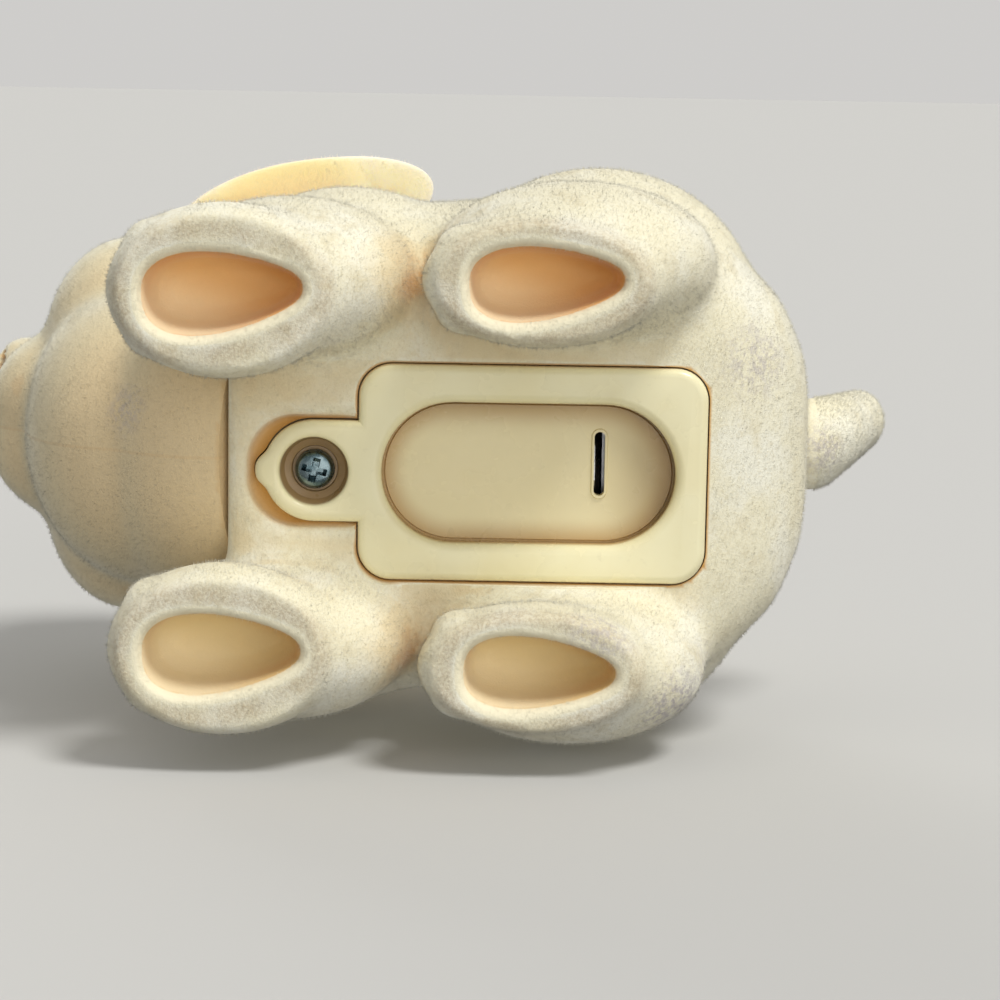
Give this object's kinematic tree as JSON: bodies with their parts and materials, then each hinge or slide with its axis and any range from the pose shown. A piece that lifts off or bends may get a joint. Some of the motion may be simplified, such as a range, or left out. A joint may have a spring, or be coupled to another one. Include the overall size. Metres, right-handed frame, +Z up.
{
  "type": "interactive toy dog",
  "caption": "Small flocked toy puppy with a swivel head, a plug-in tail and a screwed battery door in its belly.",
  "frame": {"origin": "on the ground under the middle of the toy's length, width and length both centred, soles at z = 0", "axes": "+Z up, head towards -Y and tail towards +Y, the dog's left side at +X"},
  "size_m": [0.0592, 0.1014, 0.0702],
  "materials": {
    "cream_flock": "fine cream flocking over moulded plastic",
    "ear_flock": "fine cream flocking, warmer on the inner side",
    "eye": "gloss",
    "nose": "satin",
    "door_plastic": "smooth moulded",
    "inner_plastic": "moulded",
    "screw_zinc": "zinc plated",
    "plated_steel": "plated",
    "board": "green solder mask",
    "black_parts": "moulded",
    "magnet": "ferrite",
    "speaker_steel": "pressed",
    "cone_paper": "pressed paper",
    "sensor_brass": "plain",
    "red_wire": "insulation",
    "black_wire": "insulation"
  },
  "bodies": {
    "body": {"belly_shell": "cream_flock", "back_shell": "cream_flock", "battery_housing": "inner_plastic", "button_cell_1": "plated_steel", "button_cell_2": "plated_steel", "button_cell_3": "plated_steel", "negative_contact": "plated_steel", "positive_contact": "plated_steel", "circuit_board": "board", "board_screw_1": "plated_steel", "board_screw_2": "plated_steel", "chip_cover": "black_parts", "capacitor": "black_parts", "resistor_1": "black_parts", "resistor_2": "black_parts", "resistor_3": "black_parts", "sensor_can": "sensor_brass", "speaker_magnet": "magnet", "speaker_frame": "speaker_steel", "speaker_cone": "cone_paper", "red_battery_wire": "red_wire", "black_battery_wire": "black_wire", "speaker_wire_1": "black_wire", "speaker_wire_2": "black_wire"},
    "head": {"head_left_half": "cream_flock", "head_right_half": "cream_flock", "left_ear": "ear_flock", "right_ear": "ear_flock", "left_eye": "eye", "right_eye": "eye", "nose": "nose", "neck_spindle": "inner_plastic", "neck_washer": "plated_steel", "neck_screw": "plated_steel"},
    "tail": {"tail": "cream_flock", "tail_washer": "plated_steel"},
    "door": {"battery_door": "door_plastic"},
    "keeper": {"screw_retainer": "plated_steel"},
    "screw": {"door_screw": "screw_zinc"},
    "ball": {"sensor_ball": "plated_steel"}
  },
  "joints": [
    {"name": "head_swivel", "type": "hinge", "parent": "body", "child": "head", "pos_m": [0, -0.01477, 0.03055], "axis": [0, -0.9511, 0.309], "range_deg": [-20, 20]},
    {"name": "tail_turn", "type": "hinge", "parent": "body", "child": "tail", "pos_m": [0, 0.0408, 0.0325], "axis": [0, 1, 0], "range_deg": [-45, 45]},
    {"name": "door_lift", "type": "slide", "parent": "body", "child": "door", "axis": [0, 0, -1], "range_m": [0, 0.01]},
    {"name": "screw_back_out", "type": "slide", "parent": "door", "child": "keeper", "axis": [0, 0, -1], "range_m": [0, 0.0026]},
    {"name": "screw_turn", "type": "hinge", "parent": "keeper", "child": "screw", "pos_m": [-0.0011, -0.0112, 0.013], "axis": [0, 0, -1], "range_deg": [0, 1200]},
    {"name": "ball_roll", "type": "slide", "parent": "body", "child": "ball", "axis": [0, 0, 1], "range_m": [0, 0.002]}
  ],
  "couplings": [
    {"joint": "screw_turn", "follows": "screw_back_out", "rad_per_m": 7854}
  ]
}
